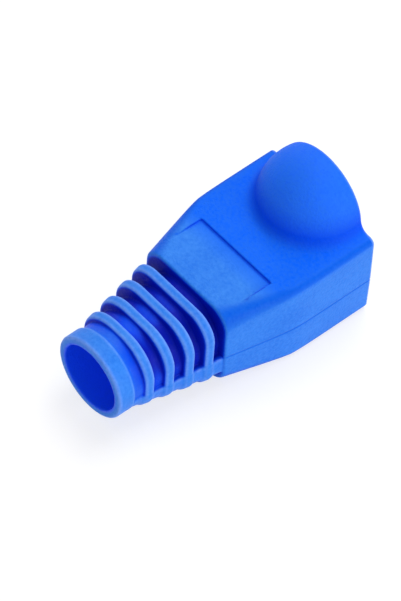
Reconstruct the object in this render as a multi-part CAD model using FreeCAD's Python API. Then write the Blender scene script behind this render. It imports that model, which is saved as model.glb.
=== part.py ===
import FreeCAD, Part
import math
import os

# Strain relief boot for an eight-way modular plug: one piece, moulded in flexible PVC.
# Its square mouth sleeves the back of the plug, a hollow dome over the mouth guards the plug's
# latch, and a ribbed neck bends with the cable. Lengths are in millimetres.
# Frame: X across the boot, Y from the cable end to the mouth, Z up. The origin is under the middle
# of the boot, on the surface that it lies on. Each "distance" is measured back from the mouth.

# What the boot fits.
plug_width = 11.7
plug_height = 7.8
plug_grip = 9.5
plug_clearance = 0.05
bore_radius = 3.3

# Walls.
side_wall = 1.1
flat_wall = 0.85
collar_wall = 0.85
dome_wall = 0.75

# Sleeve: straight from the mouth to the kink, then tapering to the shoulder.
sleeve_length = 16.0
kink_distance = 9.0
shoulder_width = 11.0
mouth_corner = 0.6
shoulder_corner = 2.0
pocket_corner = 0.4
funnel_radius = 5.6

# Latch dome: a ball with its centre behind the mouth and above the top, cut off at the mouth.
dome_radius = 5.2
dome_inset = 1.2
dome_rise = 0.3
dome_blend = 1.0
blend_steps = 4

# Shallow thumb recess in the top, deepest at its mouth side.
recess_distance = 10.3
recess_width = 9.3
recess_length = 4.4
recess_depth = 0.3

# Neck: grooves between ribs, with a web left along each side.
groove_count = 5
groove_width = 1.0
groove_pitch = 2.05
neck_start_width = 10.8
neck_start_height = 9.3
neck_start_corner = 2.3
neck_end_corner_share = 0.95
core_start_width = 9.0
core_height = 7.8
core_flat = 0.2
edge_round = 0.25
round_steps = 2
groove_draft = 0.12
web_inset = 0.12
web_low = 1.8
web_high = 4.0
collar_length = 1.8
collar_edge = 0.25

# Sizes that follow from those above.
mouth_width = plug_width + 2 * (plug_clearance + side_wall)
body_height = plug_height + 2 * (plug_clearance + flat_wall)
axis_height = body_height / 2
core_corner = (core_height - core_flat) / 2
collar_radius = bore_radius + collar_wall
groove_run = (groove_count - 1) * groove_pitch + groove_width
collar_distance = sleeve_length + groove_run
overall_length = collar_distance + collar_length


def station(distance):
    """Y of a section at this distance behind the mouth."""
    return overall_length / 2 - distance


def rounded_section(width, height, corner, distance):
    """Upright rounded rectangle, centred on the cable's axis."""
    out = width / 2
    up = height / 2
    slant = corner * (1 - 0.5 ** 0.5)
    corners = []
    for x, z in ((1, 1), (-1, 1), (-1, -1), (1, -1)):
        on_side = FreeCAD.Vector(x * out, station(distance), axis_height + z * (up - corner))
        middle = FreeCAD.Vector(x * (out - slant), station(distance), axis_height + z * (up - slant))
        on_flat = FreeCAD.Vector(x * (out - corner), station(distance), axis_height + z * up)
        corners.append([on_side, middle, on_flat] if x == z else [on_flat, middle, on_side])
    edges = []
    for start, middle, end in corners:
        if edges:
            edges.append(Part.makeLine(edges[-1].lastVertex().Point, start))
        edges.append(Part.Arc(start, middle, end).toShape())
    edges.append(Part.makeLine(corners[-1][-1], corners[0][0]))
    return Part.Wire(edges)


def ruled_solid(sections):
    """Solid through the sections, straight between one and the next."""
    return Part.makeLoft(sections, True, True)


def rounding():
    """Steps of a rounded edge, as it falls away: distance short of the edge, and how far in."""
    steps = []
    for step in range(round_steps, -1, -1):
        turn = math.radians(90 * step / round_steps)
        steps.append((edge_round * (1 - math.cos(turn)), edge_round * (1 - math.sin(turn))))
    return steps


def cylinder_along_axis(radius, near, far):
    """Round bar on the cable's axis, from one distance behind the mouth to another."""
    start = FreeCAD.Vector(0, station(far), axis_height)
    return Part.makeCylinder(radius, far - near, start, FreeCAD.Vector(0, 1, 0))


def sleeve_sections():
    """Straight from the mouth to the kink, then tapering, with its last edge rounded."""
    sections = [
        rounded_section(mouth_width, body_height, mouth_corner, 0),
        rounded_section(mouth_width, body_height, mouth_corner, kink_distance),
    ]
    for back, inset in rounding():
        width = shoulder_width - 2 * inset
        height = body_height - 2 * inset
        sections.append(rounded_section(width, height, shoulder_corner - inset, sleeve_length - back))
    return sections


def dome_ball(radius):
    """Whole ball about the dome's centre, with its poles where neither the dome nor its room has skin."""
    centre = FreeCAD.Vector(0, station(dome_inset), body_height + dome_rise)
    poles = FreeCAD.Vector(0, 1, 1)
    return Part.makeSphere(radius, centre, poles)


def dome_foot():
    """Hollow-sided skirt that blends the dome into the top of the sleeve, in straight steps."""
    drop = dome_blend - dome_rise
    reach = ((dome_radius + dome_blend) ** 2 - drop ** 2) ** 0.5
    whole_turn = math.atan2(reach, drop)
    centre = FreeCAD.Vector(0, station(dome_inset), body_height)
    outline = [centre + FreeCAD.Vector(dome_radius - dome_blend, 0, 0)]
    for step in range(blend_steps + 1):
        turn = whole_turn * step / blend_steps
        out = reach - dome_blend * math.sin(turn)
        up = dome_blend * (1 - math.cos(turn))
        outline.append(centre + FreeCAD.Vector(out, 0, up))
    profile = Part.Face(Part.makePolygon(outline + outline[:1]))
    return profile.revolve(centre, FreeCAD.Vector(0, 0, 1), 360)


def cut_at_mouth(shape):
    """Without what stands out past the mouth."""
    span = 2 * overall_length
    corner = FreeCAD.Vector(-overall_length, station(0), -overall_length)
    return shape.cut(Part.makeBox(span, span, span, corner))


def sleeve_with_dome():
    sleeve = ruled_solid(sleeve_sections())
    dome = dome_ball(dome_radius).fuse(dome_foot())
    return sleeve.fuse(cut_at_mouth(dome))


def thumb_recess():
    """Wedge that is cut from the top: a step at its mouth side, running out towards the neck."""
    left = -recess_width / 2
    front = station(recess_distance)
    corners = [
        FreeCAD.Vector(left, front, body_height - recess_depth),
        FreeCAD.Vector(left, front - recess_length, body_height),
        FreeCAD.Vector(left, front - recess_length, body_height + recess_depth),
        FreeCAD.Vector(left, front, body_height + recess_depth),
    ]
    outline = Part.makePolygon(corners + corners[:1])
    return Part.Face(outline).extrude(FreeCAD.Vector(recess_width, 0, 0))


def neck_section(distance, inset=0):
    """Outline of the neck at a distance behind the mouth, before the grooves."""
    share = (distance - sleeve_length) / groove_run
    end_width = 2 * collar_radius
    width = neck_start_width + share * (end_width - neck_start_width) - 2 * inset
    height = neck_start_height + share * (end_width - neck_start_height) - 2 * inset
    end_corner = collar_radius * neck_end_corner_share
    corner = neck_start_corner + share * (end_corner - neck_start_corner) - inset
    return rounded_section(width, height, corner, distance)


def groove_floor(distance):
    """Outline of what is left under the grooves."""
    share = (distance - sleeve_length) / groove_run
    width = core_start_width + share * (core_height - core_start_width)
    return rounded_section(width, core_height, core_corner, distance)


def ribbed_neck():
    """Grooves with slightly sloping walls, and ribs with rounded tips between them."""
    sections = []
    for index in range(groove_count):
        groove_start = sleeve_length + index * groove_pitch
        groove_end = groove_start + groove_width
        sections.append(groove_floor(groove_start + (groove_draft if index else 0)))
        if index == groove_count - 1:
            sections.append(groove_floor(collar_distance))
            continue
        sections.append(groove_floor(groove_end - groove_draft))
        for back, inset in reversed(rounding()):
            sections.append(neck_section(groove_end + back, inset))
        for back, inset in rounding():
            sections.append(neck_section(groove_start + groove_pitch - back, inset))
    return ruled_solid(sections)


def side_webs():
    """Solid strip of the neck along both sides, between the upper and the lower grooves."""
    start = neck_section(sleeve_length, web_inset)
    end = neck_section(collar_distance, web_inset)
    corner = FreeCAD.Vector(-overall_length, -overall_length, web_low)
    band = Part.makeBox(2 * overall_length, 2 * overall_length, web_high - web_low, corner)
    return ruled_solid([start, end]).common(band)


def collar():
    ring = cylinder_along_axis(collar_radius, collar_distance, overall_length)
    end_rim = [edge for edge in ring.Edges if edge.BoundBox.YMax < station(overall_length) + 1e-6]
    return ring.makeChamfer(collar_edge, end_rim)


def pocket_section(distance):
    width = plug_width + 2 * plug_clearance
    height = plug_height + 2 * plug_clearance
    return rounded_section(width, height, pocket_corner, distance)


def funnel():
    """Room behind the plug: the pocket carried on, closing in a cone to the cable's bore."""
    carried_on = ruled_solid([pocket_section(plug_grip), pocket_section(sleeve_length)])
    narrow_end = FreeCAD.Vector(0, station(sleeve_length), axis_height)
    length = sleeve_length - plug_grip
    cone = Part.makeCone(bore_radius, funnel_radius, length, narrow_end, FreeCAD.Vector(0, 1, 0))
    return carried_on.common(cone)


def latch_room():
    """Room for the plug's latch, under the dome and down into the pocket."""
    radius = dome_radius - dome_wall
    floor = FreeCAD.Vector(0, station(dome_inset), axis_height)
    shaft = Part.makeCylinder(radius, body_height + dome_rise - axis_height, floor)
    return dome_ball(radius).fuse(shaft)


def hollow():
    pocket = ruled_solid([pocket_section(0), pocket_section(plug_grip)])
    bore = cylinder_along_axis(bore_radius, plug_grip, overall_length)
    return pocket.fuse([funnel(), latch_room(), bore])


def strain_relief_boot():
    outside = sleeve_with_dome().fuse([ribbed_neck(), side_webs(), collar()])
    boot = outside.cut([hollow(), thumb_recess()])
    return boot.removeSplitter()


os.makedirs("parts", exist_ok=True)
boot = strain_relief_boot()
print("valid", boot.isValid(), "solids", len(boot.Solids), "faces", len(boot.Faces))
print("volume", round(boot.Volume, 2), "box", boot.BoundBox)
boot.exportStep("parts/strain_relief_boot.step")
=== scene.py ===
# %% [markdown]
# # A strain relief boot, moulded in soft blue PVC
#
# The real boot is one injection moulding. Its square mouth sleeves the back of a plug, a hollow
# dome guards the plug's latch, and a ribbed neck bends with the cable. Nothing is assembled, so
# this lesson is about one skin and its finish.
#
# The boot could be made from boxes and a ball with the Boolean and Bevel modifiers, but the soft
# blends between the dome, the sleeve and the ribs would need many cuts by hand. Here the shape is
# a distance function instead: simple forms, joined with soft edges, which is how a mould leaves
# them. The steps are to load the frame, write the forms, draw the skin, mark its hollows and
# edges, paint it, light it, and place the camera.

# %% Load the frame
import math
import bpy
import numpy as np
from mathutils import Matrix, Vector


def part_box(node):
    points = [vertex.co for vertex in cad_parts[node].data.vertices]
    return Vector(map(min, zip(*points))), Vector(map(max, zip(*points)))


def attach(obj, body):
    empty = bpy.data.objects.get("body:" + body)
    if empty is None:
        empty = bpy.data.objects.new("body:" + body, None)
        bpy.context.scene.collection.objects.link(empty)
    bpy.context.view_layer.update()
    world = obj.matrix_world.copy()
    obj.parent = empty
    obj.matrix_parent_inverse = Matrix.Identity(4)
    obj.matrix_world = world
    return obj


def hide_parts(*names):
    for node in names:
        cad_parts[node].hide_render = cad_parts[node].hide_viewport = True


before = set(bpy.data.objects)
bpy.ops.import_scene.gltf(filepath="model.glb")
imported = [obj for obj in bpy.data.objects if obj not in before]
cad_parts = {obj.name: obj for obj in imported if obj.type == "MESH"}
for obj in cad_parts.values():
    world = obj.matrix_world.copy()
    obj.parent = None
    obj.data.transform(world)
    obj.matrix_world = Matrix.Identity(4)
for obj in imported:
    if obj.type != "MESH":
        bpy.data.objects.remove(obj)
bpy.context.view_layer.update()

low, high = [Vector(corner) * 1000 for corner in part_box("strain_relief_boot")]
print("CAD box, mm:", [round(v, 2) for v in low], [round(v, 2) for v in high])

# %% [markdown]
# ## The boot's own measure
#
# Every length in the forms is in millimetres, and only the finished mesh is in metres. The
# outside comes from the frame's box, so the skin can't drift away from the solid that it stands
# for. "Back" is the distance behind the mouth, along the cable, because a maker measures a boot
# from the plug's end.

# %% Overall sizes
LENGTH = high.y - low.y
HALF_WIDTH = high.x
AXIS = 4.8
HALF_HEIGHT = 4.8
TOP = AXIS + HALF_HEIGHT
print("length", round(LENGTH, 2), "width", round(2 * HALF_WIDTH, 2), "sleeve height", TOP)


# %% [markdown]
# ## Joining forms with soft edges
#
# Every edge of a moulding has a small radius, because a mould fills badly at a sharp corner. A
# Bevel modifier could add the radii, but it struggles where several curved forms meet. A distance
# function makes them anywhere. It is negative inside a form and positive outside it. The greater
# of two distances is what both forms share, and the smaller is what either of them fills.
# Rounding that choice rounds the edge.

# %% What both forms share, and what either fills
def both(a, b, soft):
    """What lies inside a and b, with its edge rounded to the radius soft."""
    outside = np.hypot(np.maximum(a + soft, 0), np.maximum(b + soft, 0))
    return np.minimum(-soft, np.maximum(a, b)) + outside


def either(a, b, soft):
    """What lies inside a or b, with a fillet of the radius soft between them."""
    inside = np.hypot(np.maximum(soft - a, 0), np.maximum(soft - b, 0))
    return np.maximum(soft, np.minimum(a, b)) - inside


print("a radius of 1 mm takes", round(float(both(0.0, 0.0, 1.0)), 2), "mm off a sharp corner")

# %% A section around the cable, and a slab across a line
MOUTH_CORNER = 0.6


def section(x, z, half_width, half_height, corner):
    """Rounded rectangle around the cable's axis."""
    out = np.abs(x) - half_width + corner
    up = np.abs(z - AXIS) - half_height + corner
    past_corner = np.hypot(np.maximum(out, 0), np.maximum(up, 0))
    return past_corner + np.minimum(np.maximum(out, up), 0) - corner


def between(place, start, end):
    """Slab from one place to another."""
    return np.abs(place - (start + end) / 2) - (end - start) / 2


depth_of_axis = -section(0.0, AXIS, HALF_WIDTH, HALF_HEIGHT, MOUTH_CORNER)
print("the axis lies", round(float(depth_of_axis), 2), "mm inside the mouth's outline")

# %% [markdown]
# ## The sleeve
#
# The sleeve grips the back of the plug. It is straight from the mouth to the kink, then narrows
# to the shoulder while its corners grow softer. Its sides lean in by about a degree, up and down
# from the parting line, so that the halves of the mould come away. A loft through three sections
# would give nearly this shape. The function gives the soft kink, the lean and the faint parting
# line as well, with no seam between them.

# %% Parting line
PARTING = 4.2
PARTING_DEPTH = 0.05
PARTING_WIDTH = 0.09
SIDES_FROM = 5.0


def parting_line(x, z):
    """Faint groove along both sides, where the halves of the mould met."""
    profile = PARTING_DEPTH * np.exp(-((z - PARTING) / PARTING_WIDTH) ** 2)
    return profile * (np.abs(x) > SIDES_FROM)


print("parting line", PARTING, "mm up,", float(parting_line(HALF_WIDTH, PARTING)), "mm deep")

# %% Sleeve
KINK = 9.0
KINK_SOFTNESS = 1.2
SHOULDER = 16.0
SHOULDER_HALF_WIDTH = 5.5
SHOULDER_EDGE = 0.2
SHOULDER_CORNER = 2.0
DRAFT = 0.018
TAPER = (HALF_WIDTH - SHOULDER_HALF_WIDTH) / (SHOULDER - KINK)


def sleeve(x, back, z):
    past = back - KINK
    half_width = HALF_WIDTH - TAPER * (past + np.hypot(past, KINK_SOFTNESS)) / 2
    corners = [MOUTH_CORNER, MOUTH_CORNER, SHOULDER_CORNER]
    corner = np.interp(back, [0, KINK, SHOULDER], corners)
    drafted = np.abs(x) + DRAFT * np.abs(z - PARTING)
    walls = section(drafted, z, half_width, HALF_HEIGHT, corner)
    return both(walls + parting_line(x, z), back - SHOULDER, SHOULDER_EDGE)


print("each side narrows by", round(math.degrees(math.atan(TAPER)), 1), "degrees past the kink")

# %% [markdown]
# ## The ribbed neck
#
# The neck takes the bend of the cable. Five grooves let it flex, the four ribs between them keep
# it from folding, and a web along each side carries the ribs. An Array modifier could repeat one
# rib, but each rib is smaller than the one before it, because all the tips follow one tapering
# outline. So a loop cuts slabs out of that outline, and melts each one into the core.

# %% The neck's outline
COLLAR = 4.15
COLLAR_START = 25.2
NECK_HALF_WIDTH = 5.4
NECK_HALF_HEIGHT = 4.65
NECK_CORNER = 2.3
NECK_END_CORNER = 0.95 * COLLAR


def along_neck(back):
    """0 at the shoulder, 1 at the collar."""
    return (back - SHOULDER) / (COLLAR_START - SHOULDER)


def neck(x, back, z):
    """Tapering outline that the tips of the ribs follow."""
    share = along_neck(back)
    half_width = NECK_HALF_WIDTH + share * (COLLAR - NECK_HALF_WIDTH)
    half_height = NECK_HALF_HEIGHT + share * (COLLAR - NECK_HALF_HEIGHT)
    corner = NECK_CORNER + share * (NECK_END_CORNER - NECK_CORNER)
    return section(x, z, half_width, half_height, corner)


print("neck narrows from", 2 * NECK_HALF_WIDTH, "to", 2 * COLLAR, "mm")

# %% The core under the grooves
CORE_HALF_WIDTH = 4.5
CORE_NARROWING = 0.6
CORE_HALF_HEIGHT = 3.9
CORE_CORNER = 3.8
ROOT = 1.0


def neck_stretch(back):
    """The neck's length, and a little more at each end, to root in the sleeve and the collar."""
    return between(back, SHOULDER - ROOT, COLLAR_START + ROOT)


def core(x, back, z):
    half_width = CORE_HALF_WIDTH - along_neck(back) * CORE_NARROWING
    walls = section(x, z, half_width, CORE_HALF_HEIGHT, CORE_CORNER)
    return np.maximum(walls, neck_stretch(back))


print("first groove is", round(NECK_HALF_WIDTH - CORE_HALF_WIDTH, 2), "mm deep at the side")

# %% Ribs
GROOVES = 5
GROOVE_WIDTH = 1.0
PITCH = 2.05
RIB_HEIGHT = 1.0
RIB_SUNK = 0.3
RIB_LEAN = 0.06
RIB_TIP = 0.25
RIB_FOOT = 0.12


def rib(envelope, back, index):
    """One rib inside the neck's envelope, thinner at its tip than at its root."""
    start = SHOULDER + GROOVE_WIDTH + index * PITCH
    end = SHOULDER + (index + 1) * PITCH
    lean = RIB_LEAN * np.clip(envelope + RIB_HEIGHT, -RIB_SUNK, RIB_HEIGHT)
    return both(envelope, between(back, start, end) + lean, RIB_TIP)


print(GROOVES - 1, "ribs,", round(PITCH - GROOVE_WIDTH, 2), "mm thick, every", PITCH, "mm")

# %% Side webs and the whole neck
WEB_INSET = 0.12
WEB_LOW, WEB_HIGH = 1.8, 4.0
WEB_EDGE = 0.25


def side_webs(envelope, back, z):
    """Band along each side, just inside the tips of the ribs."""
    band = both(envelope + WEB_INSET, between(z, WEB_LOW, WEB_HIGH), WEB_EDGE)
    return np.maximum(band, neck_stretch(back))


def ribbed_neck(x, back, z):
    envelope = neck(x, back, z)
    shape = core(x, back, z)
    for index in range(GROOVES - 1):
        shape = either(shape, rib(envelope, back, index), RIB_FOOT)
    return either(shape, side_webs(envelope, back, z), WEB_EDGE)


print("webs from", WEB_LOW, "to", WEB_HIGH, "mm up")

# %% [markdown]
# ## The dome and the collar
#
# The dome keeps the plug's latch from snagging. It is a ball that melts into the top with a
# fillet of one millimetre, and it is cut off flush at the mouth. The collar is the plain ring
# that the cable leaves through. A ball could be joined to the sleeve with a Boolean, but the
# fillet at its foot would then be built by hand. Here it is one number.

# %% Dome
DOME = 5.2
DOME_BACK = 1.2
DOME_HEIGHT = high.z - DOME


def dome_ball(x, back, z, radius):
    return np.sqrt(x ** 2 + (back - DOME_BACK) ** 2 + (z - DOME_HEIGHT) ** 2) - radius


print("dome's centre is", round(DOME_HEIGHT - TOP, 2), "mm above the top")

# %% The whole outside
COLLAR_EDGE = 0.25
DOME_FILLET = 1.0
SHOULDER_FILLET = 0.1
COLLAR_FILLET = 0.2
MOUTH_EDGE = 0.12


def outside(x, back, z):
    ring = np.hypot(x, z - AXIS) - COLLAR
    collar = both(ring, between(back, COLLAR_START, LENGTH), COLLAR_EDGE)
    body = either(sleeve(x, back, z), dome_ball(x, back, z, DOME), DOME_FILLET)
    body = either(body, ribbed_neck(x, back, z), SHOULDER_FILLET)
    body = either(body, collar, COLLAR_FILLET)
    return both(body, -back, MOUTH_EDGE)


print("collar", round(LENGTH - COLLAR_START, 2), "mm long and", 2 * COLLAR, "mm across")

# %% [markdown]
# ## The hollow
#
# The boot is a shell. The pocket holds the plug, the room under the dome lets its latch move, and
# a cone leads to the bore, where the cable runs. A Solidify modifier would give one thickness
# everywhere, and the real walls differ. So the hollow is a form of its own that is taken out of
# the outside, as the core of a mould does it.

# %% Room for the plug and its latch
POCKET_HALF_WIDTH = 5.9
POCKET_HALF_HEIGHT = 3.95
POCKET_CORNER = 0.4
GRIP = 9.5
DOME_WALL = 0.75
DOME_ROOM = DOME - DOME_WALL
LATCH_FILLET = 0.2


def pocket_section(x, z):
    return section(x, z, POCKET_HALF_WIDTH, POCKET_HALF_HEIGHT, POCKET_CORNER)


def plug_room(x, back, z):
    """The pocket, with the room for the latch under the dome."""
    pocket = np.maximum(pocket_section(x, z), back - GRIP)
    ball = dome_ball(x, back, z, DOME_ROOM)
    shaft = np.hypot(x, back - DOME_BACK) - DOME_ROOM
    shaft = np.maximum(shaft, np.maximum(AXIS - z, z - DOME_HEIGHT))
    return either(pocket, np.minimum(ball, shaft), LATCH_FILLET)


print("side wall of the mouth:", round(HALF_WIDTH - POCKET_HALF_WIDTH, 2), "mm")

# %% Funnel and bore
FUNNEL = 5.6
BORE = 3.3
FUNNEL_FILLET = 0.3
POCKET_FILLET = 0.15


def hollow(x, back, z):
    radius = np.hypot(x, z - AXIS)
    narrowing = FUNNEL - (back - GRIP) / (SHOULDER - GRIP) * (FUNNEL - BORE)
    funnel = np.maximum(pocket_section(x, z), radius - narrowing)
    funnel = np.maximum(funnel, back - SHOULDER)
    bore = np.maximum(radius - BORE, GRIP - back)
    cable_room = either(funnel, bore, FUNNEL_FILLET)
    return either(plug_room(x, back, z), cable_room, POCKET_FILLET)


print("wall of the collar:", round(COLLAR - BORE, 2), "mm")

# %% [markdown]
# ## The thumb recess
#
# The recess gives a thumb something to push against. It is a shallow wedge, deepest at its step,
# and it runs out towards the neck. It could be pressed in with a displaced grid, but its step
# would then be as coarse as that grid. As a form it keeps its small radii, and it is cut last, so
# that it goes through the top and nothing else.

# %% Thumb recess
RECESS_START = 10.3
RECESS_LENGTH = 4.4
RECESS_HALF_WIDTH = 4.65
RECESS_DEPTH = 0.26
RECESS_CORNER = 0.1
RECESS_FOOT = 0.06


def recess(x, back, z):
    floor = TOP - RECESS_DEPTH * (1 - (back - RECESS_START) / RECESS_LENGTH)
    walls = both(np.abs(x) - RECESS_HALF_WIDTH, RECESS_START - back, RECESS_CORNER)
    return both(walls, floor - z, RECESS_FOOT)


print("recess", 2 * RECESS_HALF_WIDTH, "by", RECESS_LENGTH, "mm, step", RECESS_DEPTH, "mm")

# %% The whole boot
RIM_EDGE = 0.14
RECESS_EDGE = 0.07


def boot(x, back, z):
    shell = both(outside(x, back, z), -hollow(x, back, z), RIM_EDGE)
    return both(shell, -recess(x, back, z), RECESS_EDGE)


wall_middle = (DOME_HEIGHT + DOME_ROOM + high.z) / 2
print("middle of the dome's wall:", round(float(boot(0.0, DOME_BACK, wall_middle)), 3), "mm")


# %% [markdown]
# ## Drawing the skin
#
# A distance function shows nothing until it has a skin. Metaballs or a Remesh modifier could draw
# one, with cells of one size all over. This boot has fine detail at its ribs, its recess and its
# parting line, and plain walls elsewhere, so the grid's lines crowd only where the detail is.
# Each grid cell that the skin passes through gets one point, and each grid edge that crosses the
# skin gets one face. The points then slide along the function's slope until they lie on it.

# %% Grid lines
def lines(*runs):
    """Grid lines: each run is (start, end, step)."""
    made = [np.arange(start, end - step / 2, step) for start, end, step in runs]
    return np.concatenate(made + [[runs[-1][1]]])


xs = lines((-7.3, -5.2, 0.15), (-5.2, 5.2, 0.2), (5.2, 7.3, 0.15))
backs = lines(
    (-0.3, 1.0, 0.13), (1.0, 10.0, 0.25), (10.0, 10.8, 0.1), (10.8, 15.4, 0.25), (15.4, 27.3, 0.13)
)
zs = lines(
    (-0.3, 1.2, 0.15), (1.2, 3.8, 0.2), (3.8, 4.5, 0.07),
    (4.5, 8.6, 0.2), (8.6, 10.6, 0.13), (10.6, 15.4, 0.2),
)
print("grid:", len(xs), "by", len(backs), "by", len(zs), "lines")


# %% Grid edges that cross the skin
def crossed_edges(value, grid, axis):
    """Edges along one axis: their first corners, where they cross, and which ones lead out."""
    near = [slice(None)] * 3
    far = [slice(None)] * 3
    near[axis] = slice(0, -1)
    far[axis] = slice(1, None)
    first, second = value[tuple(near)], value[tuple(far)]
    crossed = (first < 0) != (second < 0)
    first, second = first[crossed], second[crossed]
    index = np.argwhere(crossed)
    place = np.stack([grid[k][index[:, k]] for k in range(3)], axis=1)
    reach = grid[axis][index[:, axis] + 1] - grid[axis][index[:, axis]]
    place[:, axis] += first / (first - second) * reach
    return index, place, first < 0


grid = [xs, backs, zs]
value = boot(xs[:, None, None], backs[None, :, None], zs[None, None, :])
edges = [crossed_edges(value, grid, axis) for axis in range(3)]
print("crossed edges along x, back and z:", [len(index) for index, place, leads_out in edges])


# %% One point in each crossed cell
def cell_beside(index, axis, one, two):
    """Of the four cells around each edge, the one so many steps down the other two axes."""
    first, second = [k for k in range(3) if k != axis]
    cell = index.copy()
    cell[:, first] -= one
    cell[:, second] -= two
    return tuple(cell.T)


def skin_points(edges, shape):
    """The middle of the crossings of each cell, and the number of that point in each cell."""
    total = np.zeros(shape + (3,))
    count = np.zeros(shape)
    for axis, (index, place, leads_out) in enumerate(edges):
        for one, two in ((0, 0), (0, 1), (1, 0), (1, 1)):
            cell = cell_beside(index, axis, one, two)
            np.add.at(total, cell, place)
            np.add.at(count, cell, 1)
    used = count > 0
    number = np.full(shape, -1)
    number[used] = np.arange(used.sum())
    return total[used] / count[used][:, None], number


cells = tuple(size - 1 for size in value.shape)
points, number = skin_points(edges, cells)
print("points", len(points))


# %% One face across each crossed edge
def skin_faces(edges, number):
    faces = []
    for axis, (index, place, leads_out) in enumerate(edges):
        ring = ((0, 0), (1, 0), (1, 1), (0, 1))
        corners = [number[cell_beside(index, axis, one, two)] for one, two in ring]
        quads = np.stack(corners, axis=1)
        kept = leads_out if axis != 1 else ~leads_out
        quads[~kept] = quads[~kept][:, ::-1]
        faces.append(quads)
    return np.concatenate(faces)


faces = skin_faces(edges, number)
print("faces", len(faces))

# %% Slide the points onto the skin
SLOPE_STEP = 0.004
ROUNDS = 4
LEAST_SLOPE = 0.2
LONGEST_SLIDE = 0.1
FLAT = 1e-9


def slope(points):
    """Gradient of the boot's function at the points."""
    columns = []
    for axis in range(3):
        ahead = points.copy()
        behind = points.copy()
        ahead[:, axis] += SLOPE_STEP
        behind[:, axis] -= SLOPE_STEP
        columns.append((boot(*ahead.T) - boot(*behind.T)) / (2 * SLOPE_STEP))
    return np.stack(columns, axis=1)


for _ in range(ROUNDS):
    gradient = slope(points)
    steepness = np.maximum((gradient ** 2).sum(axis=1), LEAST_SLOPE)
    slide = np.clip(boot(*points.T) / steepness, -LONGEST_SLIDE, LONGEST_SLIDE)
    points -= slide[:, None] * gradient
normals = slope(points)
normals /= np.maximum(np.linalg.norm(normals, axis=1), FLAT)[:, None]
off_skin = float(np.quantile(np.abs(boot(*points.T)), 0.999))
print("999 points in 1000 lie within", round(off_skin * 1000, 2), "micrometres of the skin")

# %% [markdown]
# ## Guides for the paint
#
# Soft PVC isn't one flat blue under studio lamps, and here light and shade are painted into its
# colour. Painted shade makes it deeper in the grooves, where light goes in and little comes back,
# a painted highlight makes it paler on the tips of the ribs and on the rims, and painted light
# makes it more vivid where a wall is thin and light soaks through it. The Ambient Occlusion and
# Bevel nodes find some of this while Blender renders, but an exported model loses it. So it is
# worked out once from the shape, and kept as numbers on the points of the mesh. Each of these
# guides runs from 0 to 1.

# %% How hemmed in each point is
# Each step outwards is in millimetres, and is followed by how much it counts.
REACHES = ((0.25, 0.25), (0.6, 0.3), (1.1, 0.25), (2.2, 0.2))


def hemmed_in(points, normals):
    """How much nearer to the skin a point stays than the step that it takes outwards."""
    total = np.zeros(len(points))
    for step, weight in REACHES:
        room = boot(*(points + step * normals).T) / step
        total += weight * np.clip(1 - room, 0, 1)
    return total


cavity = hemmed_in(points, normals)
print("cavity up to", round(cavity.max(), 2))

# %% How sharply the skin turns
TURN_STEP = 0.15


def sharpness(points):
    """How far the function's value lies below the six values around it."""
    around = -6 * boot(*points.T)
    for axis in range(3):
        for sign in (-1, 1):
            moved = points.copy()
            moved[:, axis] += sign * TURN_STEP
            around += boot(*moved.T)
    return np.clip(around / TURN_STEP, 0, 1)


edge = sharpness(points)
print("edge up to", round(edge.max(), 2))


# %% The hollow and the thin walls
def ramp(values, start, end):
    """0 up to start, 1 from end on."""
    return np.clip((values - start) / (end - start), 0, 1)


HOLLOW_FROM, HOLLOW_FULLY = 0.35, 0.05
PLAIN_WALL, VIVID_WALL = 2.9, 0.85
VIVID_FROM, VIVID_FULLY = TOP - 1.0, TOP

x, back, z = points.T
inside = ramp(hollow(x, back, z), HOLLOW_FROM, HOLLOW_FULLY)
on_outside = inside == 0
# Thin walls are where painted light soaks through the PVC.
thin = ramp(plug_room(x, back, z), PLAIN_WALL, VIVID_WALL) * ramp(z, VIVID_FROM, VIVID_FULLY)
print("points in the hollow", int((inside == 1).sum()))
print("points on thin walls", int((thin > 0.5).sum()))

# %% Painted shade in the grooves
HEMMED_GAIN, HEMMED_START = 2.6, 0.25
FLOOR_SHADE, HEMMED_SHADE, WALL_SHADE = 0.95, 0.2, 0.4
NECK_MARGIN = 0.1
WALL_FROM, WALL_FULLY = 0.05, 0.25
DARK_FROM, DARK_FULLY = 0.1, 0.7

# Painted shade: the more a point is hemmed in, and the deeper it lies in a groove, the darker it
# is painted.
shade = np.clip(HEMMED_GAIN * cavity - HEMMED_START, 0, 1)
on_neck = (back > SHOULDER - NECK_MARGIN) & (back < COLLAR_START + NECK_MARGIN) & on_outside
depth = -neck(x, back, z)
# Painted shade on the groove walls that face the cable end, away from the key lamp.
facing_cable = np.clip(normals[:, 1], 0, 1) * ramp(depth, WALL_FROM, WALL_FULLY)
in_groove = FLOOR_SHADE * ramp(depth, DARK_FROM, DARK_FULLY)
in_groove = in_groove + HEMMED_SHADE * shade + WALL_SHADE * facing_cable
shade = np.where(on_neck, np.clip(in_groove, 0, 1), shade)
print("points on the neck", int(on_neck.sum()), "of mean shade", round(shade[on_neck].mean(), 2))

# %% Painted shade at the dome's foot, fainter in the recess
FOOT_SHADE, FOOT_REACH, FOOT_CLIMB = 0.5, 0.9, 3.0
RECESS_SHADE, RECESS_MARGIN = 0.45, 0.3
TOP_MARGIN, RECESS_REACH = 0.05, 0.4

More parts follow.
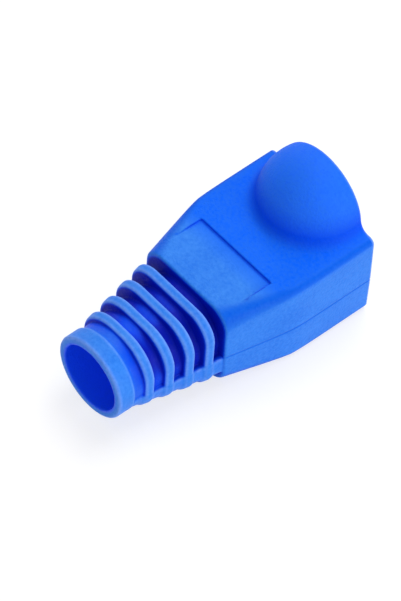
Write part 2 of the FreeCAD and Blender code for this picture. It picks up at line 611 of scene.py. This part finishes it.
# Painted shade round the dome's foot, where the fillet is hemmed in; in the recess the painted
# shade is weakened.
ball = dome_ball(x, back, z, DOME)
foot = ramp(z, TOP + FOOT_CLIMB, TOP) * ramp(ball, FOOT_REACH, 0) * on_outside
shade = np.where(z > TOP - TOP_MARGIN, np.maximum(shade, FOOT_SHADE * foot), shade)
on_top = (z > TOP - RECESS_REACH) & on_outside
along_recess = between(back, RECESS_START, RECESS_START + RECESS_LENGTH)
at_recess = (along_recess < RECESS_MARGIN) & on_top
shade = np.where(at_recess, RECESS_SHADE * shade, shade)
print("points round the dome's foot", int((foot > 0).sum()))

# %% Painted shade on the long corners of the sleeve
CORNER_GAIN = 2.2
RIM_MARGIN, SHOULDER_MARGIN, DOME_MARGIN = 0.2, 0.05, 0.02

along_sleeve = (back > RIM_MARGIN) & (back < SHOULDER + SHOULDER_MARGIN)
on_sleeve = along_sleeve & (z < TOP + DOME_MARGIN) & on_outside
# Painted shade: the long rounded corners turn away from the lamps, so they are painted a deeper
# blue.
turned = np.clip(CORNER_GAIN * np.abs(normals[:, 0] * normals[:, 2]), 0, 1)
corner = np.where(on_sleeve, turned, 0)
# The sleeve's edges get no painted highlight.
edge *= 1 - on_sleeve
print("points on the sleeve's corners", int((corner > 0.5).sum()))

# %% [markdown]
# ## The mesh
#
# The points, faces and guides become one Blender mesh. A Subdivision modifier could smooth it,
# but the function already knows which way the skin faces at each point, and those directions
# shade it smoothly as it is. The frame's Y runs the other way from "back". So Y is the mouth's
# place minus "back", and each face is turned over, to keep its outside out.

# %% The boot's skin
mesh = bpy.data.meshes.new("boot_skin")
placed = np.stack([x, high.y - back, z], axis=1) / 1000
mesh.from_pydata(placed.tolist(), [], faces[:, ::-1].tolist())
mesh.validate()
mesh.shade_smooth()
facing = np.stack([normals[:, 0], -normals[:, 1], normals[:, 2]], axis=1)
mesh.normals_split_custom_set_from_vertices(facing.tolist())
print("triangles", sum(len(face.vertices) - 2 for face in mesh.polygons))

# %% Guides on its points
# These guides carry the painted shade, light and highlights, and the hollow, to the material.
guides = {
    "cavity": cavity, "edge": edge, "inside": inside,
    "thin": thin, "corner": corner, "shade": shade,
}
for name, values in guides.items():
    guide = mesh.attributes.new(name, "FLOAT", "POINT")
    guide.data.foreach_set("value", values.astype(np.float32))
print("guides", list(guides))

# %% Its place in the frame
skin = bpy.data.objects.new("boot_skin", mesh)
bpy.context.collection.objects.link(skin)
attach(skin, "root")
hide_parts("strain_relief_boot")
print(skin.name, "measures", [round(size * 1000, 2) for size in skin.dimensions], "mm")


# %% [markdown]
# ## Node maths as sums
#
# A material is a tree of nodes, and its maths is hard to follow as a list of nodes and links. It
# could be drawn by hand in the Shader Editor, but then it can't be read here. A Wire wraps one
# socket, so that wires are added and multiplied as numbers are, and each sum adds its own Math
# node. A Paint makes every other node in one call: its settings first, then its values and links.

# %% A socket that can be used in sums
class Wire:
    """A shader socket that can be used in sums."""

    def __init__(self, paint, socket):
        self.paint = paint
        self.socket = socket

    def sum_with(self, operation, first, second):
        return self.paint.node("ShaderNodeMath", {"operation": operation}, {0: first, 1: second})

    def __add__(self, other):
        return self.sum_with("ADD", self, other)

    def __radd__(self, other):
        return self.sum_with("ADD", other, self)

    def __sub__(self, other):
        return self.sum_with("SUBTRACT", self, other)

    def __rsub__(self, other):
        return self.sum_with("SUBTRACT", other, self)

    def __mul__(self, other):
        return self.sum_with("MULTIPLY", self, other)

    def __rmul__(self, other):
        return self.sum_with("MULTIPLY", other, self)

    def clamped(self):
        return self.paint.node("ShaderNodeClamp", {}, {"Value": self})


sums = [name for name in vars(Wire) if name.endswith(("add__", "sub__", "mul__"))]
print("a Wire can be used in", len(sums), "kinds of sum")


# %% A material made one call at a time
class Paint:
    """A material whose nodes are made one call at a time."""

    def __init__(self, name):
        self.material = bpy.data.materials.new(name)
        self.material.use_nodes = True
        self.tree = self.material.node_tree
        self.shader = self.tree.nodes["Principled BSDF"]

    def feed(self, socket, value):
        if isinstance(value, Wire):
            self.tree.links.new(value.socket, socket)
        else:
            socket.default_value = value

    def node(self, kind, settings, inputs, output=0):
        made = self.tree.nodes.new(kind)
        for name, value in settings.items():
            setattr(made, name, value)
        for key, value in inputs.items():
            self.feed(made.inputs[key], value)
        return Wire(self, made.outputs[output])

    def guide(self, name):
        """A number that the points of the mesh carry."""
        return self.node("ShaderNodeAttribute", {"attribute_name": name}, {}, "Fac")

    def noise(self, place, scale, detail=2.0):
        """Cloudy value around 0, between -0.5 and 0.5."""
        values = {"Vector": place, "Scale": scale, "Detail": detail}
        return self.node("ShaderNodeTexNoise", {}, values) - 0.5

    def blend(self, share, first, second):
        """Colour that goes from the first to the second as the share goes from 0 to 1."""
        inputs = {"Factor": share, 6: first, 7: second}
        return self.node("ShaderNodeMix", {"data_type": "RGBA"}, inputs, 2)


pvc = Paint("moulded_blue_pvc")
print("new material", pvc.material.name)

# %% [markdown]
# ## The finish of moulded PVC
#
# The real finish is soft and matt. Its blue pigment is a little uneven, it streaks slightly along
# the boot, where the plastic flowed into the mould, and the steel's fine texture shows on it. An
# image texture could carry all that, but it would need an unwrap, and it blurs from close by.
# Noise in the boot's own space stays crisp at every distance and has no seams. The guides say
# where each blue belongs, and where shade, light and highlights are painted into the colour. In
# the sums, the number beside each noise or guide says how strongly it counts.

# %% Guides and grain
# Ripples per metre: the clouds are about 6 mm across, and the grain 0.2 mm.
CLOUDS, FLOW, SPECKLE, GRAIN = 160.0, 900.0, 3200.0, 5200.0
SPECKLE_DETAIL = 3.0
STREAK = (1.0, 0.2, 1.0)

in_cavity, on_edge, within = pvc.guide("cavity"), pvc.guide("edge"), pvc.guide("inside")
thin_wall, on_corner, shaded = pvc.guide("thin"), pvc.guide("corner"), pvc.guide("shade")
place = pvc.node("ShaderNodeTexCoord", {}, {}, "Object")
streaked = pvc.node("ShaderNodeVectorMath", {"operation": "MULTIPLY"}, {0: place, 1: STREAK})
clouds = pvc.noise(place, CLOUDS)
flow = pvc.noise(streaked, FLOW)
speckle = pvc.noise(place, SPECKLE, SPECKLE_DETAIL)
grain = pvc.noise(place, GRAIN)
print("paint nodes for guides and grain", len(pvc.tree.nodes))

# %% Blues of the outside, with painted light, shade and highlights
BLUE = (0.018, 0.178, 0.79, 1)
FRESH_BLUE = (0.044, 0.252, 0.87, 1)
LIT_THROUGH_BLUE = (0.0, 0.128, 0.93, 1)
CORNER_SHADE_BLUE = (0.0, 0.105, 0.74, 1)
HIGHLIGHT_BLUE = (0.22, 0.40, 1.0, 1)

mottled = 0.5 + clouds * 0.9 + flow * 0.7 + speckle * 1.8
# Painted light: thin walls get a more vivid blue, standing in for light that soaks through them.
painted_light_through = thin_wall * (0.86 + speckle * 0.9 + clouds * 0.4)
# Painted shade on the long corners of the sleeve.
painted_corner_shade = on_corner * (0.88 + speckle * 0.7)
# Painted highlight: the tips of the ribs and the rims are paler, where light catches them.
painted_edge_highlight = on_edge * 0.8 + speckle * on_edge * 0.8
colour = pvc.blend(mottled.clamped(), BLUE, FRESH_BLUE)
colour = pvc.blend(painted_light_through.clamped(), colour, LIT_THROUGH_BLUE)
colour = pvc.blend(painted_corner_shade.clamped(), colour, CORNER_SHADE_BLUE)
colour = pvc.blend(painted_edge_highlight.clamped(), colour, HIGHLIGHT_BLUE)
print("paint nodes with the blues of the outside", len(pvc.tree.nodes))

# %% Painted shade in the grooves, and painted light in the hollow
SHADED_BLUE = (0.0, 0.064, 0.80, 1)
DEEP_SHADE_BLUE = (0.0, 0.010, 0.44, 1)
HOLLOW_LIGHT_BLUE = (0.006, 0.080, 1.0, 1)

# Painted shade: the shade guide darkens the colour to the shaded blue, then to the deep shade
# blue.
half_way = shaded * 2.0
colour = pvc.blend(half_way.clamped(), colour, SHADED_BLUE)
colour = pvc.blend((half_way - 1.0).clamped(), colour, DEEP_SHADE_BLUE)
# Painted light: the hollow gets a brighter blue, standing in for light that bounces in it and
# soaks through its walls.
colour = pvc.blend(within, colour, HOLLOW_LIGHT_BLUE)
print("paint nodes with all the blues", len(pvc.tree.nodes))

# %% Matt surface and fine texture
MATT = 0.40
LOW_GLOSS = 0.07
TEXTURE_STRENGTH, TEXTURE_HEIGHT = 0.6, 0.00009

roughness = MATT + thin_wall * 0.2 + clouds * 0.08 + speckle * 0.12 + in_cavity * 0.2
texture = grain * 0.6 + speckle * 0.5 + flow * 0.5
heights = {"Strength": TEXTURE_STRENGTH, "Distance": TEXTURE_HEIGHT, "Height": texture}
bump = pvc.node("ShaderNodeBump", {}, heights)
pvc.feed(pvc.shader.inputs["Base Color"], colour)
pvc.feed(pvc.shader.inputs["Roughness"], roughness.clamped())
pvc.feed(pvc.shader.inputs["Normal"], bump)
pvc.feed(pvc.shader.inputs["Specular IOR Level"], LOW_GLOSS)
mesh.materials.append(pvc.material)
print("paint nodes in all", len(pvc.tree.nodes))

# %% [markdown]
# ## Soft studio light
#
# Small goods like this are shown under large soft lamps, which give broad pale shadows and let
# the colour speak. A picture of a studio on the world could light the boot too, but lamps need no
# file and each has one plain job. The key is high behind the mouth and lights the top, the side
# lamp lights the side wall, the rim lamp picks out the far edges, and a weak front lamp opens
# the neck.

# %% Lamps
TARGET = Vector((0, -0.0007, 0.0055))
LAMP_DISTANCE = 0.35


def direction(azimuth, elevation):
    """Away from the boot: degrees round from the cable end, and degrees up from the floor."""
    turn, tilt = math.radians(azimuth), math.radians(elevation)
    level = math.cos(tilt)
    return Vector((level * math.sin(turn), -level * math.cos(turn), math.sin(tilt)))


def soft_lamp(name, azimuth, elevation, size, watts):
    """Square lamp that faces the boot."""
    data = bpy.data.lights.new(name, "AREA")
    data.size = size
    data.energy = watts
    lamp = bpy.data.objects.new(name, data)
    away = direction(azimuth, elevation)
    lamp.location = TARGET + away * LAMP_DISTANCE
    lamp.rotation_euler = away.to_track_quat("Z", "Y").to_euler()
    bpy.context.collection.objects.link(lamp)
    print(name, "of", watts, "W at", [round(v, 3) for v in lamp.location])


soft_lamp("key_light", 195, 64, 0.25, 0.70)
soft_lamp("side_light", 105, 8, 0.20, 0.66)
soft_lamp("rim_light", 240, 18, 0.10, 0.20)
soft_lamp("front_light", 33, 38, 0.12, 0.18)

# %% Light from all round
WORLD_LEVEL = 0.4

world = bpy.data.worlds.new("studio")
bpy.context.scene.world = world
world.use_nodes = True
background = world.node_tree.nodes["Background"]
background.inputs["Color"].default_value = (1, 1, 1, 1)
background.inputs["Strength"].default_value = WORLD_LEVEL
print("world at", WORLD_LEVEL)

# %% [markdown]
# ## The white floor
#
# The boot lies on a white sheet that shows only its shadow. The lamps could be raised until the
# sheet turned white, but they would bleach the boot too. So the floor mixes two finishes. To the
# light it is plain matt white, and takes the shadow. To the camera, and in the boot's own soft
# reflections, part of it glows. Is Camera Ray and Is Glossy Ray tell the two apart. Is
# Transmission Ray changes nothing here, and would do the same through a clear material.

# %% Floor
FLOOR_HALF = 1.5

square = [(-FLOOR_HALF, -FLOOR_HALF, 0), (FLOOR_HALF, -FLOOR_HALF, 0)]
square += [(FLOOR_HALF, FLOOR_HALF, 0), (-FLOOR_HALF, FLOOR_HALF, 0)]
floor_mesh = bpy.data.meshes.new("floor")
floor_mesh.from_pydata(square, [], [(0, 1, 2, 3)])
floor = bpy.data.objects.new("floor", floor_mesh)
bpy.context.collection.objects.link(floor)
print("floor", 2 * FLOOR_HALF, "m across")

# %% Its finish
FLOOR_WHITE = (0.9, 0.9, 0.9, 1)
GLOW = 1.15
GLOW_SHARE = 0.6

sheet = Paint("white_floor")
sheet.feed(sheet.shader.inputs["Base Color"], FLOOR_WHITE)
rays = ("Is Camera Ray", "Is Glossy Ray", "Is Transmission Ray")
seen, mirrored, seen_through = [sheet.node("ShaderNodeLightPath", {}, {}, ray) for ray in rays]
glowing = ((seen + mirrored + seen_through) * GLOW_SHARE).clamped()
glow = sheet.node("ShaderNodeEmission", {}, {"Color": (1, 1, 1, 1), "Strength": GLOW})
matt = Wire(sheet, sheet.shader.outputs["BSDF"])
mixed = sheet.node("ShaderNodeMixShader", {}, {0: glowing, 1: matt, 2: glow})
sheet.feed(sheet.tree.nodes["Material Output"].inputs["Surface"], mixed)
floor_mesh.materials.append(sheet.material)
print("floor nodes", len(sheet.tree.nodes))

# %% [markdown]
# ## The camera
#
# A long lens from some way off keeps the boot's edges nearly parallel, as small goods are usually
# shown. A Track To constraint could aim the camera, but it also has to roll a little. So its turn
# is worked out from the direction that it looks in, and the roll is added about its own axis.

# %% Camera
AZIMUTH, ELEVATION, ROLL = 45.5, 52, 4.5
CAMERA_DISTANCE = 0.366
LENS = 248
NEAREST = 0.01

camera_data = bpy.data.cameras.new("camera")
camera_data.lens = LENS
camera_data.clip_start = NEAREST
camera = bpy.data.objects.new("camera", camera_data)
away = direction(AZIMUTH, ELEVATION)
camera.location = TARGET + away * CAMERA_DISTANCE
camera.rotation_euler = away.to_track_quat("Z", "Y").to_euler()
camera.rotation_euler.rotate_axis("Z", math.radians(ROLL))
bpy.context.collection.objects.link(camera)
bpy.context.scene.camera = camera
bpy.context.scene.view_settings.view_transform = "Standard"
print("camera", LENS, "mm at", [round(v, 3) for v in camera.location])

# %% [markdown]
# ## The last measure
#
# The skin has to fill the same box as the solid that it stands for. The frame's box is printed at
# the start, and the skin's size once it is placed in the frame.
